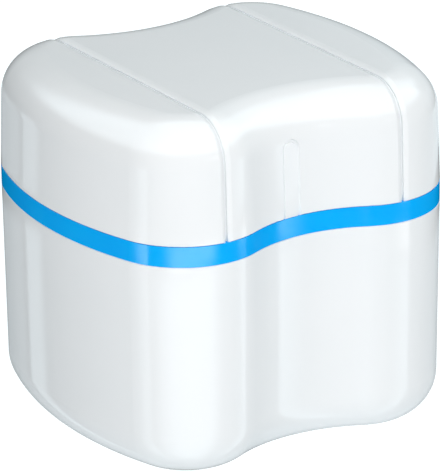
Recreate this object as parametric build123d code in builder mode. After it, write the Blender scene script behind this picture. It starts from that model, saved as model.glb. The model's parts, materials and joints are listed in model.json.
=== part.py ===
"""Denture case: a white cup, a blue strainer whose rim is the band outside, and a hinged white lid.

Millimetres. +X runs across the case, -Y faces the front and +Z is up.
The origin is the middle of the foot, on the surface that the case stands on.
"""
from build123d import *
import os
from math import asin, atan2, cos, degrees, radians, sin, sqrt, tan

# Plan outline of the skin, the same for cup, band and lid: eight tangent arcs, mirrored in X and Y.
half_width = 44.0            # middle of the case to the furthest point of each side
side_radius = 88.0           # bow of the left and right sides
corner_radius = 18.0
waist_radius = 32.0          # hollow in the front and in the back
waist_half_depth = 34.5      # middle of the case to the bottom of that hollow

# Heights, from the table up
cup_height = 50.6
band_height = 4.5
lid_height = 26.4

# Outer form of the two shells
cup_draft = 0.6              # degrees that the cup's walls lean in towards the foot
lid_draft = 1.8              # degrees that the lid's walls lean in towards the top
cup_rounding = 10.5          # radius from the cup's walls into its foot
lid_rounding = 10.0          # radius from the lid's walls into its top
edge_rounding = 0.4          # edges of cup and lid that meet the band

# Walls
cup_wall = 2.2
cup_floor = 2.2
lid_wall = 2.2
lid_roof = 2.2
foot_width = 3.5             # flat ring that the case stands on
foot_height = 0.8            # hollow inside that ring

# Two grooves from the back over the lid to the front, one on each pair of corner arcs
groove_half_width = 1.9      # middle to where the rounded shoulder meets the skin
groove_shoulder_drop = 0.5   # skin to the brink of the narrow valley
groove_valley_half_width = 0.3
groove_depth = 1.0
groove_overrun = 1.0         # the grooves' cutter reaches past the skin and past the lid's edge

# Upright flute with a round top, in the hollow of the lid's front: a sunken pad with a moat round it
flute_x = -3.0               # middle of the flute, left of the middle of the case
flute_width = 4.8
flute_height = 17.7          # lid's edge to the flute's round top
flute_depth = 0.45           # skin to the bottom of the moat
flute_slope = 20.0           # degrees that the moat's sides lean
moat_width = 0.65
pad_drop = 0.15              # skin to the pad

# Strainer: band, lip inside the lid, skirt inside the cup, and basket
strainer_wall = 1.4
strainer_floor = 1.6
strainer_draft = 1.5
strainer_rounding = 8.0
liquid_gap = 7.0             # cup's floor to the underside of the basket
basket_gap = 1.0             # cup's wall to the basket, at the mouth
lip_height = 3.0
lip_clearance = 0.3          # lip to the lid's wall
lip_chamfer = 0.6
skirt_depth = 4.0
skirt_clearance = 0.25       # skirt to the cup's wall
slot_width = 2.4
slots_per_quarter = 9        # upright slots in each quarter of the basket's wall
slot_margin = 3.0            # solid wall left above and below those slots
floor_slot_length = 11.0
floor_slot_pitch_x = 7.0
floor_slot_pitch_y = 14.0
floor_slot_columns = 9
floor_slot_rows = 3

# Silicone seals, one in the mouth of the lid and one in the mouth of the cup
seal_width = 1.1
seal_height = 1.2
seal_clearance = 0.1

# Hinge behind the back of the case, in line with the lid's edge
knuckle_radius = 2.6
lid_knuckle_width = 12.0
ear_width = 6.0
knuckle_gap = 0.3            # between the lid's knuckle and each ear
arm_clearance = 0.2          # the hinge arms stop short of the plane where lid and band meet
hinge_setback = 2.0          # furthest point of the back to the axis
pin_radius = 1.0
pin_clearance = 0.05         # all round the pin
pin_recess = 0.4             # pin's ends inside the ears' outer faces
pin_chamfer = 0.2

# Places that follow from the sizes
lid_level = cup_height + band_height
floor_level = foot_height + cup_floor
basket_level = floor_level + liquid_gap
basket_inset = cup_wall + basket_gap
throat_inset = basket_inset + strainer_wall
foot_inset = cup_height * tan(radians(cup_draft)) + cup_rounding + foot_width
cup_seat_inset = cup_wall - seal_width - seal_clearance
lid_seat_inset = lid_wall - seal_width - seal_clearance

# The corner arc touches the side arc from inside and the waist arc from outside.
side_centre = Vector(half_width - side_radius, 0)
waist_centre = Vector(0, -(waist_half_depth + waist_radius))
side_reach = side_radius - corner_radius
waist_reach = corner_radius + waist_radius
span = (waist_centre - side_centre).length
along = (side_reach**2 - waist_reach**2 + span**2) / (2 * span)
across = sqrt(side_reach**2 - along**2)
towards_waist = (waist_centre - side_centre).normalized()
corner_centre = side_centre + towards_waist * along + towards_waist.rotate(Axis.Z, 90) * across
side_angle = degrees(atan2(-corner_centre.Y, corner_centre.X - side_centre.X))
waist_angle = degrees(atan2(corner_centre.X, corner_centre.Y - waist_centre.Y))
corner_angle = 90 + waist_angle - side_angle

lobe_half_depth = corner_radius - corner_centre.Y
hinge_y = lobe_half_depth + hinge_setback
hinge_z = lid_level
hinge_plane = Plane(origin=(0, hinge_y, hinge_z), z_dir=(1, 0, 0))


def outline(inset=0.0, mode=Mode.ADD):
    """Fill the plan outline, drawn in from the skin by inset, in the sketch that is open."""
    rear_corner = Vector(corner_centre.X, -corner_centre.Y)
    with BuildLine() as edge:
        for turn in (0, 180):
            side = side_centre.rotate(Axis.Z, turn)
            waist = waist_centre.rotate(Axis.Z, turn)
            CenterArc(side, side_radius - inset, turn - side_angle, 2 * side_angle)
            CenterArc(waist, waist_radius + inset, turn + 90 - waist_angle, 2 * waist_angle)
            for corner, start in ((corner_centre, -90 - waist_angle), (rear_corner, side_angle)):
                CenterArc(corner.rotate(Axis.Z, turn), corner_radius - inset, turn + start, corner_angle)
    make_face(edge.edges(), mode=mode)


def pillow(base, height, draft, rounding, inset=0.0):
    """A block that rises from the outline on the base plane, leans in, and is rounded at its far end."""
    with BuildPart() as block:
        with BuildSketch(base):
            outline(inset)
        extrude(amount=height, taper=draft)
        far_end = block.faces().sort_by(Axis(base.origin, base.z_dir))[-1]
        fillet(far_end.edges(), radius=rounding)
    return block.part


def ring(level, height, outer_inset, inner_inset):
    """A straight ring between two insets of the outline."""
    with BuildPart() as band:
        with BuildSketch(Plane.XY.offset(level)):
            outline(outer_inset)
            outline(inner_inset, mode=Mode.SUBTRACT)
        extrude(amount=height)
    return band.part


def knuckle(start, width, arm_low, arm_high):
    """A hinge eye on the pin's axis, with the arm that carries it. It reaches forward into a wall."""
    root = waist_half_depth - lid_wall / 2
    with BuildPart() as eye:
        with BuildSketch(Plane.YZ.offset(start)):
            with Locations((hinge_y, hinge_z)):
                Circle(knuckle_radius)
            with Locations((root, arm_low)):
                Rectangle(hinge_y - root, arm_high - arm_low, align=(Align.MIN, Align.MIN))
        extrude(amount=width)
    return eye.part


down_from_cup_edge = -Plane.XY.offset(cup_height)
up_from_lid_edge = Plane.XY.offset(lid_level)

# Cup: a drafted shell, open at the top, with a seat for the seal in its mouth and a ring to stand on.
cup_outside = pillow(down_from_cup_edge, cup_height, cup_draft, cup_rounding)
cup_inside = pillow(
    down_from_cup_edge, cup_height - floor_level, cup_draft, cup_rounding - cup_wall, cup_wall
)
with BuildPart() as cup:
    add(cup_outside)
    fillet(cup.faces().sort_by(Axis.Z)[-1].edges(), radius=edge_rounding)
    add(cup_inside, mode=Mode.SUBTRACT)
    with BuildSketch(Plane.XY.offset(cup_height - seal_height)):
        outline(cup_seat_inset)
    extrude(amount=seal_height, mode=Mode.SUBTRACT)
    with BuildSketch(Plane.XY):
        outline(foot_inset)
    extrude(amount=foot_height, mode=Mode.SUBTRACT)

# Strainer: the band is a solid rim. A lip stands up into the lid and a skirt hangs into the cup.
basket_outside = pillow(
    down_from_cup_edge, cup_height - basket_level, strainer_draft, strainer_rounding, basket_inset
)
basket_inside = pillow(
    down_from_cup_edge,
    cup_height - basket_level - strainer_floor,
    strainer_draft,
    strainer_rounding - strainer_wall,
    throat_inset,
)
ear_start = lid_knuckle_width / 2 + knuckle_gap
with BuildLine() as quarter:
    CenterArc(side_centre, side_radius - basket_inset, -side_angle, side_angle)
    CenterArc(corner_centre, corner_radius - basket_inset, -90 - waist_angle, corner_angle)
    CenterArc(waist_centre, waist_radius + basket_inset, 90 - waist_angle, waist_angle)
slot_low = basket_level + strainer_rounding + slot_margin
slot_high = cup_height - skirt_depth - slot_margin
slot_planes = []
for step in range(slots_per_quarter):
    share = (step + 0.5) / slots_per_quarter
    place = quarter.wire() @ share
    out = (quarter.wire() % share).cross(Vector(0, 0, 1))
    if out.dot(place) < 0:
        out = -out
    for mirror_x in (1, -1):
        for mirror_y in (1, -1):
            spot = Vector(place.X * mirror_x, place.Y * mirror_y, (slot_low + slot_high) / 2)
            facing = Vector(out.X * mirror_x, out.Y * mirror_y, 0)
            slot_planes.append(Plane(origin=spot, x_dir=Vector(0, 0, 1), z_dir=facing))

with BuildPart() as strainer:
    with BuildSketch(Plane.XY.offset(cup_height)):
        outline()
    extrude(amount=band_height)
    with BuildSketch(up_from_lid_edge):
        outline(lid_wall + lip_clearance)
    extrude(amount=lip_height)
    chamfer(strainer.faces().sort_by(Axis.Z)[-1].edges(), length=lip_chamfer)
    with BuildSketch(down_from_cup_edge):
        outline(cup_wall + skirt_clearance)
    extrude(amount=skirt_depth)
    add(basket_outside)
    for start in (ear_start, -ear_start - ear_width):
        add(knuckle(start, ear_width, hinge_z - knuckle_radius, hinge_z - arm_clearance))
    with Locations(hinge_plane):
        Hole(pin_radius + pin_clearance)
    add(basket_inside, mode=Mode.SUBTRACT)
    with BuildSketch(Plane.XY.offset(cup_height)):
        outline(throat_inset)
    extrude(amount=band_height + lip_height, mode=Mode.SUBTRACT)
    with BuildSketch(*slot_planes):
        SlotOverall(slot_high - slot_low, slot_width)
    extrude(amount=2 * strainer_wall, both=True, mode=Mode.SUBTRACT)
    with BuildSketch(Plane.XY.offset(basket_level)):
        with GridLocations(floor_slot_pitch_x, floor_slot_pitch_y, floor_slot_columns, floor_slot_rows):
            SlotOverall(floor_slot_length, slot_width, rotation=90)
    extrude(amount=strainer_floor, mode=Mode.SUBTRACT)

# Lid: a drafted shell, open at the bottom, with the grooves, the flute and the hinge's knuckle.
lid_outside = pillow(up_from_lid_edge, lid_height, lid_draft, lid_rounding)
lid_inside = pillow(
    up_from_lid_edge, lid_height - lid_roof, lid_draft, lid_rounding - lid_wall, lid_wall
)
lid_lean = tan(radians(lid_draft))
with BuildPart() as grooves:
    for groove_x in (-corner_centre.X, corner_centre.X):
        low = (lobe_half_depth + groove_overrun * lid_lean, lid_level - groove_overrun)
        high = (lobe_half_depth - lid_height * lid_lean, lid_level + lid_height)
        with BuildLine(Plane.YZ.offset(groove_x)) as over_the_lid:
            Polyline((-low[0], low[1]), (-high[0], high[1]), high, low)
            fillet(over_the_lid.vertices().group_by(Axis.Z)[-1], radius=lid_rounding)
        start = Plane(origin=over_the_lid.wire() @ 0, x_dir=(1, 0, 0), z_dir=over_the_lid.wire() % 0)
        with BuildSketch(start):
            with BuildLine():
                shoulder = (groove_half_width, 0)
                brink = (groove_valley_half_width, groove_shoulder_drop)
                Polyline((0, -groove_overrun), (groove_half_width, -groove_overrun), shoulder)
                TangentArc(shoulder, brink, tangent=(-1, 0))
                Polyline(brink, (groove_valley_half_width, groove_depth), (0, groove_depth))
                mirror(about=Plane.YZ)
            make_face()
        sweep(path=over_the_lid.wire())

# The flute's plane touches the skin along the flute's middle line and leans in with the lid's wall.
flute_turn = asin(flute_x / waist_radius)
flute_root = waist_centre + Vector(sin(flute_turn), cos(flute_turn)) * waist_radius
flute_plane = Plane(
    origin=(flute_root.X, flute_root.Y, lid_level),
    x_dir=(cos(flute_turn), -sin(flute_turn), 0),
    z_dir=Vector(-sin(flute_turn), -cos(flute_turn), lid_lean),
)
with BuildPart() as flute:
    with BuildSketch(flute_plane):
        SlotOverall(2 * flute_height, flute_width, rotation=90)
    extrude(amount=-flute_depth, taper=flute_slope)
    with BuildSketch(flute_plane.offset(-flute_depth)):
        SlotOverall(2 * (flute_height - moat_width), flute_width - 2 * moat_width, rotation=90)
    extrude(amount=flute_depth - pad_drop, taper=flute_slope, mode=Mode.SUBTRACT)
    with BuildSketch(flute_plane):
        SlotOverall(2 * flute_height, flute_width, rotation=90)
    extrude(amount=flute_depth)

with BuildPart() as lid:
    add(lid_outside)
    fillet(lid.faces().sort_by(Axis.Z)[0].edges(), radius=edge_rounding)
    add(knuckle(-lid_knuckle_width / 2, lid_knuckle_width, hinge_z + arm_clearance, hinge_z + knuckle_radius))
    with Locations(hinge_plane):
        Hole(pin_radius + pin_clearance)
    add(lid_inside, mode=Mode.SUBTRACT)
    with BuildSketch(up_from_lid_edge):
        outline(lid_seat_inset)
    extrude(amount=seal_height, mode=Mode.SUBTRACT)
    add(grooves.part, mode=Mode.SUBTRACT)
    add(flute.part, mode=Mode.SUBTRACT)

# Pin
pin_length = 2 * (ear_start + ear_width - pin_recess)
with BuildPart() as hinge_pin:
    with Locations(hinge_plane):
        Cylinder(pin_radius, pin_length)
    chamfer(hinge_pin.edges().filter_by(GeomType.CIRCLE), length=pin_chamfer)

# Seals
lid_seal = ring(lid_level, seal_height, lid_wall - seal_width, lid_wall)
cup_seal = ring(
    cup_height - seal_height,
    seal_height,
    cup_wall - seal_width,
    cup_wall + skirt_clearance - seal_clearance,
)

os.makedirs("parts", exist_ok=True)
pieces = {
    "cup": cup.part,
    "strainer": strainer.part,
    "lid": lid.part,
    "hinge_pin": hinge_pin.part,
    "lid_seal": lid_seal,
    "cup_seal": cup_seal,
}
for name, piece in pieces.items():
    piece.label = name
    export_step(piece, f"parts/{name}.step")
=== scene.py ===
"""Looks of the denture case: its finishes, the studio around it and the camera. Metres."""
import json
from math import pi, radians

import bpy
from mathutils import Matrix, Vector

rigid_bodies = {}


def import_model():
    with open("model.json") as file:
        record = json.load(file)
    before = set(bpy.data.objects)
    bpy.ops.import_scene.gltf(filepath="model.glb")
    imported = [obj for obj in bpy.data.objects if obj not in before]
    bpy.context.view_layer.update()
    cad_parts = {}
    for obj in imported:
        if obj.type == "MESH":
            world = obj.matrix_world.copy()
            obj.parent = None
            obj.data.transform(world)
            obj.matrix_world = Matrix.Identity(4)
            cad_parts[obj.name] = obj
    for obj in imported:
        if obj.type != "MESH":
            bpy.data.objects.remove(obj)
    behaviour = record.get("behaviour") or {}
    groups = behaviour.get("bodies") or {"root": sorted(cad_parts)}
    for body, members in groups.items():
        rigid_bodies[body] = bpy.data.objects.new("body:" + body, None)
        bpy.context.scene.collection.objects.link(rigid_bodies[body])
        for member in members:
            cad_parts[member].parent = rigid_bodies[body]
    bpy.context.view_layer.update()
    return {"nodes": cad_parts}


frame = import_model()
nodes = frame["nodes"]
scene = bpy.context.scene

MM = 0.001

# The photograph's view
TARGET = Vector((0, 0, 40.75 * MM))
AZIMUTH = radians(-31.68)
ELEVATION = radians(20.675)
ROLL = radians(-0.655)
DISTANCE = 913.3 * MM
LENS, SENSOR_WIDTH = 312.96, 36    # millimetres
SHIFT_X, SHIFT_Y = 0.00096, -0.01144
CLIP_NEAR, CLIP_FAR = 0.05, 20

# Moulded plastic
PLASTIC_IOR = 1.5
GLOSS_SCALE, GLOSS_DETAIL = 700, 3
RIPPLE_SCALE, RIPPLE_DETAIL = 260, 1
RIPPLE_HEIGHT = 0.004 * MM

# Floor, a light table
FLOOR_SIZE = 6.0
FLOOR_ROUGHNESS = 0.9
FLOOR_GLOW = 1.04
FLOOR_COLOUR = (0.94, 0.985, 1)

# Softboxes, which only light the case
SOFTBOX_DISTANCE = 0.8
WARM = (1, 0.96, 0.945)
COOL = (0.88, 0.98, 1)

# Cards, which only show in the gloss
CARD_STEPS = 48
CARD_GAP = 0.0005
PALE_BLUE = (0.82, 0.94, 1)
WHITE = (1, 1, 1)
DOME_RADIUS = 0.9
RING_RADIUS = 0.1
RING_LOW, RING_HIGH = -0.4, 0.06
CUP_FADE = (0.85, 0.01)            # shares of the card's height, below and above
LID_FADE = (0, 0.1)
BAND_FADE = (0, 0)


def direction(azimuth, elevation):
    """Unit vector from the case, in degrees: azimuth 0 is to its front and 90 to its right."""
    turn = Matrix.Rotation(radians(azimuth), 3, "Z") @ Matrix.Rotation(-radians(elevation), 3, "X")
    return turn @ Vector((0, -1, 0))


def make_camera():
    data = bpy.data.cameras.new("camera")
    data.lens, data.sensor_width = LENS, SENSOR_WIDTH
    data.shift_x, data.shift_y = SHIFT_X, SHIFT_Y
    data.clip_start, data.clip_end = CLIP_NEAR, CLIP_FAR
    camera = bpy.data.objects.new("camera", data)
    scene.collection.objects.link(camera)
    turn = (
        Matrix.Rotation(AZIMUTH, 4, "Z")
        @ Matrix.Rotation(pi / 2 - ELEVATION, 4, "X")
        @ Matrix.Rotation(ROLL, 4, "Z")
    )
    away = turn.to_3x3() @ Vector((0, 0, 1))
    camera.matrix_world = Matrix.Translation(TARGET + away * DISTANCE) @ turn
    scene.camera = camera


def new_material(name):
    material = bpy.data.materials.new(name)
    material.use_nodes = True
    tree = material.node_tree
    return material, tree, tree.nodes["Principled BSDF"]


def noise(tree, scale, detail=2):
    """Noise over the object's own metres, the same on every piece."""
    place = tree.nodes.new("ShaderNodeTexCoord")
    pattern = tree.nodes.new("ShaderNodeTexNoise")
    pattern.inputs["Scale"].default_value = scale
    pattern.inputs["Detail"].default_value = detail
    tree.links.new(place.outputs["Object"], pattern.inputs["Vector"])
    return pattern.outputs["Fac"]


def spread(tree, value, low, high):
    """Map noise, which stays near its middle, to the range from low to high."""
    node = tree.nodes.new("ShaderNodeMapRange")
    node.inputs["From Min"].default_value = 0.3
    node.inputs["From Max"].default_value = 0.7
    node.inputs["To Min"].default_value = low
    node.inputs["To Max"].default_value = high
    tree.links.new(value, node.inputs["Value"])
    return node.outputs["Result"]


def colour_between(tree, shader, value, first, second):
    """Mix the shader's base colour from two colours."""
    node = tree.nodes.new("ShaderNodeMix")
    node.data_type = "RGBA"
    node.inputs["A"].default_value = (*first, 1)
    node.inputs["B"].default_value = (*second, 1)
    tree.links.new(value, node.inputs["Factor"])
    tree.links.new(node.outputs["Result"], shader.inputs["Base Color"])


def uneven_gloss(tree, shader, value, low, high):
    """Let the shader's roughness wander between two values."""
    tree.links.new(spread(tree, value, low, high), shader.inputs["Roughness"])


def moulded_plastic(name, cloud_scale, colours, roughness):
    """Glossy plastic with a cloudy colour, an uneven gloss and a fine ripple."""
    material, tree, shader = new_material(name)
    cloud = spread(tree, noise(tree, cloud_scale), 0, 1)
    colour_between(tree, shader, cloud, *colours)
    uneven_gloss(tree, shader, noise(tree, GLOSS_SCALE, GLOSS_DETAIL), *roughness)
    ripple = tree.nodes.new("ShaderNodeBump")
    ripple.inputs["Distance"].default_value = RIPPLE_HEIGHT
    tree.links.new(noise(tree, RIPPLE_SCALE, RIPPLE_DETAIL), ripple.inputs["Height"])
    tree.links.new(ripple.outputs["Normal"], shader.inputs["Normal"])
    shader.inputs["IOR"].default_value = PLASTIC_IOR
    return material


def white_plastic():
    colours = (0.86, 0.885, 0.90), (0.875, 0.895, 0.91)
    return moulded_plastic("white_plastic", 45, colours, (0.07, 0.11))


def blue_plastic():
    colours = (0.0, 0.41, 0.99), (0.0, 0.45, 1.0)
    return moulded_plastic("blue_plastic", 60, colours, (0.10, 0.16))


def steel():
    material, tree, shader = new_material("pin_steel")
    shader.inputs["Metallic"].default_value = 1
    colour_between(tree, shader, noise(tree, 900), (0.52, 0.53, 0.54), (0.66, 0.67, 0.68))
    uneven_gloss(tree, shader, noise(tree, 1500, 3), 0.22, 0.4)
    return material


def silicone():
    material, tree, shader = new_material("silicone_rubber")
    colour_between(tree, shader, noise(tree, 200), (0.78, 0.81, 0.83), (0.84, 0.86, 0.87))
    uneven_gloss(tree, shader, noise(tree, 1200, 3), 0.5, 0.65)
    return material


def dress(names, material):
    for name in names:
        mesh = nodes[name].data
        mesh.materials.clear()
        mesh.materials.append(material)


def add_floor():
    mesh = bpy.data.meshes.new("floor")
    half = FLOOR_SIZE / 2
    corners = [(-half, -half, 0), (half, -half, 0), (half, half, 0), (-half, half, 0)]
    mesh.from_pydata(corners, [], [(0, 1, 2, 3)])
    piece = bpy.data.objects.new("floor", mesh)
    scene.collection.objects.link(piece)
    material, tree, shader = new_material("light_table")
    colour_between(tree, shader, noise(tree, 3), (0.11, 0.11, 0.11), (0.13, 0.13, 0.13))
    shader.inputs["Roughness"].default_value = FLOOR_ROUGHNESS
    shader.inputs["Emission Color"].default_value = (*FLOOR_COLOUR, 1)
    shader.inputs["Emission Strength"].default_value = FLOOR_GLOW
    mesh.materials.append(material)
    piece.visible_glossy = False


def softbox(name, azimuth, elevation, width, height, radiance, colour=WARM):
    """A rectangle of light that faces the case and doesn't show in its gloss."""
    light = bpy.data.lights.new(name, "AREA")
    light.shape = "RECTANGLE"
    light.size = width
    light.size_y = height
    light.energy = radiance * pi * width * height
    light.color = colour
    lamp = bpy.data.objects.new(name, light)
    scene.collection.objects.link(lamp)
    away = direction(azimuth, elevation)
    lamp.location = TARGET + away * SOFTBOX_DISTANCE
    lamp.rotation_euler = away.to_track_quat("Z", "Y").to_euler()
    lamp.visible_glossy = False


def glow(name, radiance, soft, colour):
    """Light on a see-through card, which fades towards the card's start, end, foot and top.

    soft is the share of its width or height that each fade takes, and at least one isn't 0.
    """
    material = bpy.data.materials.new(name)
    material.use_nodes = True
    material.cycles.emission_sampling = "NONE"
    tree = material.node_tree
    tree.nodes.clear()
    place = tree.nodes.new("ShaderNodeUVMap")
    parts = tree.nodes.new("ShaderNodeSeparateXYZ")
    tree.links.new(place.outputs["UV"], parts.inputs["Vector"])
    strength = None
    for axis, edge, fade in zip("XXYY", (0, 1, 0, 1), soft):
        if not fade:
            continue
        ramp = tree.nodes.new("ShaderNodeMapRange")
        ramp.interpolation_type = "SMOOTHSTEP"
        ramp.inputs["From Min"].default_value = edge
        ramp.inputs["From Max"].default_value = abs(edge - fade)
        ramp.inputs["To Max"].default_value = radiance
        tree.links.new(parts.outputs[axis], ramp.inputs["Value"])
        if strength:
            tree.links.new(strength, ramp.inputs["To Max"])
        strength = ramp.outputs["Result"]
    light = tree.nodes.new("ShaderNodeEmission")
    light.inputs["Color"].default_value = (*colour, 1)
    tree.links.new(strength, light.inputs["Strength"])
    veil = tree.nodes.new("ShaderNodeBsdfTransparent")
    both = tree.nodes.new("ShaderNodeAddShader")
    tree.links.new(light.outputs["Emission"], both.inputs[0])
    tree.links.new(veil.outputs["BSDF"], both.inputs[1])
    out = tree.nodes.new("ShaderNodeOutputMaterial")
    tree.links.new(both.outputs["Shader"], out.inputs["Surface"])
    return material


def card(name, place, radiance, soft, colour=PALE_BLUE):
    """A card that only shows in the gloss.

    place gives its point at each share of its width and height. Cards let light through and each
    stands a little outside the last, so where they overlap their light adds up.
    """
    steps = [step / CARD_STEPS for step in range(CARD_STEPS + 1)]
    row = len(steps)
    points = [place(across, up) for up in steps for across in steps]
    faces = [
        (low + left, low + left + 1, low + row + left + 1, low + row + left)
        for low in range(0, row * CARD_STEPS, row)
        for left in range(CARD_STEPS)
    ]
    mesh = bpy.data.meshes.new(name)
    mesh.from_pydata(points, [], faces)
    layer = mesh.uv_layers.new(name="share")
    for loop in mesh.loops:
        up, across = divmod(loop.vertex_index, row)
        layer.data[loop.index].uv = (across / CARD_STEPS, up / CARD_STEPS)
    mesh.materials.append(glow(name, radiance, soft, colour))
    piece = bpy.data.objects.new(name, mesh)
    scene.collection.objects.link(piece)
    piece.visible_camera = False
    piece.visible_diffuse = False
    piece.visible_shadow = False
    outwards = 1 + CARD_GAP * len(scene.objects)
    piece.scale = (outwards, outwards, 1)


def wall(start, end, low, high):
    """The place of an upright card round the case, between two azimuths and two heights."""
    def place(across, up):
        away = direction(start + (end - start) * across, 0) * RING_RADIUS
        return Vector((away.x, away.y, low + (high - low) * up))
    return place


def dome(start, end, low, high):
    """The place of a card on a sphere round the case, between two azimuths and two elevations.

    The elevations may pass 90.
    """
    def place(across, up):
        away = direction(start + (end - start) * across, low + (high - low) * up)
        return TARGET + away * DOME_RADIUS
    return place


def ring(name, start, end, fade, heights, cup=0, band=0, lid=0):
    """Cards close round the case: one for the gloss of the cup, one for the band, one for the lid.

    fade is for their start and end. heights, in millimetres, are the cup card's top, which is the
    band card's foot, the band card's top and the lid card's foot. cup, band and lid are radiances.
    """
    low, high, lid_low = (height * MM for height in heights)
    if cup:
        card(name + "_cup_card", wall(start, end, RING_LOW, low), cup, fade + CUP_FADE)
    if band:
        card(name + "_band_card", wall(start, end, low, high), band, fade + BAND_FADE, WHITE)
    if lid:
        card(name + "_lid_card", wall(start, end, lid_low, RING_HIGH), lid, fade + LID_FADE)


def make_studio():
    world = bpy.data.worlds.new("studio")
    world.use_nodes = True
    world.node_tree.nodes["Background"].inputs["Strength"].default_value = 0
    scene.world = world
    scene.view_settings.view_transform = "Standard"
    add_floor()

    # Softboxes: azimuth, elevation, width, height, radiance
    softbox("front_low", 0, 12, 0.6, 0.5, 0.14)
    softbox("left", -45, 42, 0.6, 0.5, 2.4)
    softbox("front_left", -30, 42, 0.6, 0.5, 1.25)
    softbox("front", 0, 42, 0.5, 0.5, 1.6)
    softbox("front_high", 0, 65, 0.6, 0.4, 1.15, COOL)
    softbox("top", 0, 90, 0.5, 0.5, 0.8, COOL)
    softbox("right_high", 90, 58, 0.5, 0.7, 0.72, COOL)
    softbox("right_low", 90, 12, 0.5, 0.5, 1.1)
    softbox("right_back", 130, 15, 0.5, 0.5, 1.1, COOL)
    softbox("back_high", 180, 68, 0.5, 0.5, 0.97, COOL)
    softbox("back_low", 180, 30, 0.5, 0.5, 1.0, COOL)

    # Cards close round the case: azimuths, fades, heights. Their hard edges are the upright
    # edges in the photograph's reflections.
    ring("back_left", -200, -143, (0.3, 0.1), (22.5, 32, 32), cup=0.35, lid=0.4)
    ring("left_strip", -143.5, -131, (0.06, 0.35), (22.5, 32, 32), cup=0.9, lid=0.7)
    ring("left", -86, -67.3, (0.85, 0), (26.5, 37, 37), cup=1.1, band=3.3, lid=1.1)
    ring("middle", -56, 0, (0.27, 0.25), (28, 37, 37), band=3.7)
    ring("middle_wide", -67, 2, (0.35, 0.25), (28, 37, 37), cup=1.8)
    ring("front", 18, 38.3, (0.85, 0), (21, 29.5, 34.5), cup=1.5, band=2.2, lid=1.5)
    ring("right", 50, 150, (0.3, 0.3), (18, 34, 34), cup=0.45, lid=0.9)

    # Cards far round it: azimuths and elevations, radiance, fades. The caps stand over it and
    # brighten the lid's rounding.
    card("cap_card", dome(-90, 90, 20, 122), 2.8, (0, 0, 0.12, 0.12))
    card("cap_left_card", dome(-178, -90, 14, 62), 2.5, (0.35, 0, 0.3, 0))
    card("cap_right_card", dome(90, 118, 25, 62), 1.5, (0, 0.4, 0.3, 0))
    card("right_card", dome(60, 160, -15, 65), 0.6, (0.3, 0.3, 0.3, 0.3))
    card("glint_card", dome(6, 19, 8, 16), 3.0, (0.4, 0.4, 0.4, 0.4), WHITE)


make_camera()
dress(("cup", "lid"), white_plastic())
dress(("strainer",), blue_plastic())
dress(("hinge_pin",), steel())
dress(("lid_seal", "cup_seal"), silicone())
make_studio()
